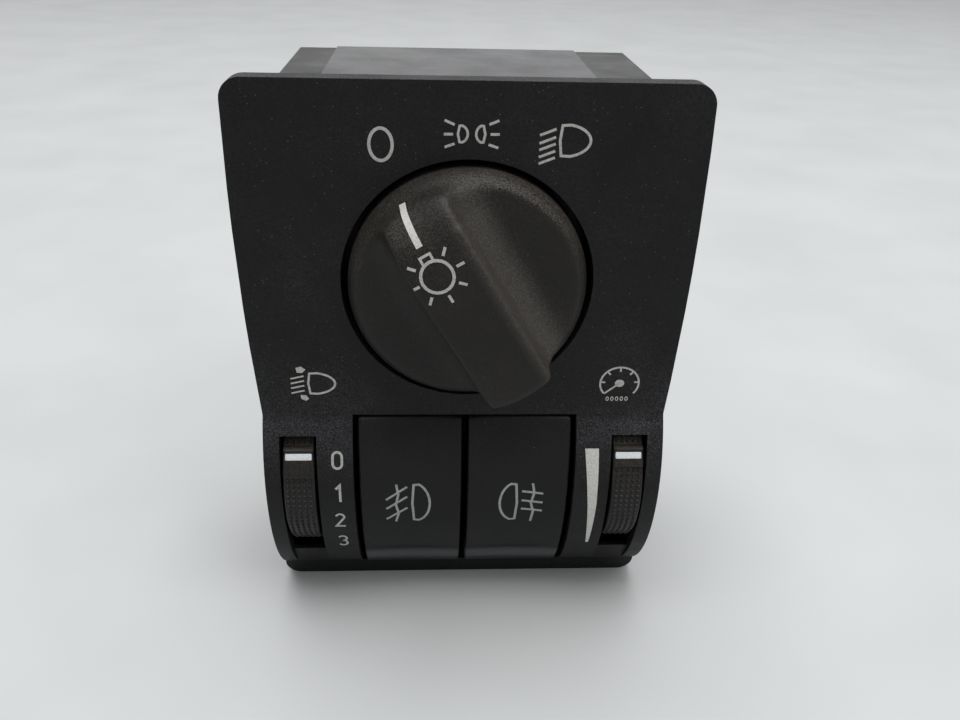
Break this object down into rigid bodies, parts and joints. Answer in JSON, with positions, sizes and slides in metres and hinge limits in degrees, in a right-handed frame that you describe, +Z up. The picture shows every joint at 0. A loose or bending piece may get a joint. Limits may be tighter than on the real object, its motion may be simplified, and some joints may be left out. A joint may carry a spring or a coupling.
{
  "type": "headlight switch",
  "caption": "Dashboard headlight switch: rotary pull selector, two fog lamp buttons and two thumbwheels on a black panel.",
  "frame": {"origin": "middle of the bounding box, at the foot of the fascia", "axes": "+Z up along the fascia, the front faces -Y, +X to the right seen from the front"},
  "size_m": [0.0844, 0.071, 0.1133],
  "materials": {
    "panel": "fine-grained matt black",
    "housing": "plain black",
    "knob_plastic": "soft-touch black, slightly worn",
    "button_plastic": "smooth matt black",
    "wheel_plastic": "matt black",
    "marker_white": "white",
    "inner_plastic": "natural",
    "clear_plastic": "clear",
    "lamp": "clear cap",
    "board": "green board",
    "contact_brass": "bare",
    "spring_steel": "bare",
    "screw_steel": "zinc plated",
    "axle_steel": "bare"
  },
  "bodies": {
    "body": {"fascia": "panel", "main_housing": "housing", "rear_cover": "housing", "cover_screws": "screw_steel", "connector_block": "housing", "connector_pins": "contact_brass", "circuit_board": "board", "contact_tracks": "contact_brass", "pull_switch": "inner_plastic", "light_guide": "clear_plastic", "lighting_lamps": "lamp", "detent_spring": "spring_steel", "front_fog_switch": "inner_plastic", "rear_fog_switch": "inner_plastic", "levelling_axle": "axle_steel", "levelling_board": "board", "dimmer_axle": "axle_steel", "dimmer_board": "board", "retaining_spring_left": "spring_steel", "retaining_spring_right": "spring_steel"},
    "rotor": {"rotor": "inner_plastic", "rotor_contact": "contact_brass"},
    "knob": {"knob": "knob_plastic", "selector_shaft": "inner_plastic", "shaft_contact": "contact_brass"},
    "levelling_wheel": {"levelling_wheel": "wheel_plastic", "levelling_marker": "marker_white", "levelling_wiper": "contact_brass"},
    "dimmer_wheel": {"dimmer_wheel": "wheel_plastic", "dimmer_marker": "marker_white", "dimmer_wiper": "contact_brass"},
    "front_fog_button": {"front_fog_button": "button_plastic"},
    "rear_fog_button": {"rear_fog_button": "button_plastic"}
  },
  "joints": [
    {"name": "selector_turn", "type": "hinge", "parent": "body", "child": "rotor", "pos_m": [0, -0.02145, 0.0765], "axis": [0, 1, 0], "range_deg": [0, 62]},
    {"name": "selector_pull", "type": "slide", "parent": "rotor", "child": "knob", "axis": [0, -1, 0], "range_m": [0, 0.0045]},
    {"name": "levelling_turn", "type": "hinge", "parent": "body", "child": "levelling_wheel", "pos_m": [-0.03325, -0.00885, 0.031], "axis": [1, 0, 0], "range_deg": [0, 75]},
    {"name": "dimmer_turn", "type": "hinge", "parent": "body", "child": "dimmer_wheel", "pos_m": [0.03325, -0.00885, 0.031], "axis": [1, 0, 0], "range_deg": [0, 75]},
    {"name": "front_fog_press", "type": "slide", "parent": "body", "child": "front_fog_button", "axis": [0, 1, 0], "range_m": [0, 0.0022], "stiffness_N_per_m": 900, "springref_m": -0.0008},
    {"name": "rear_fog_press", "type": "slide", "parent": "body", "child": "rear_fog_button", "axis": [0, 1, 0], "range_m": [0, 0.0022], "stiffness_N_per_m": 900, "springref_m": -0.0008}
  ]
}
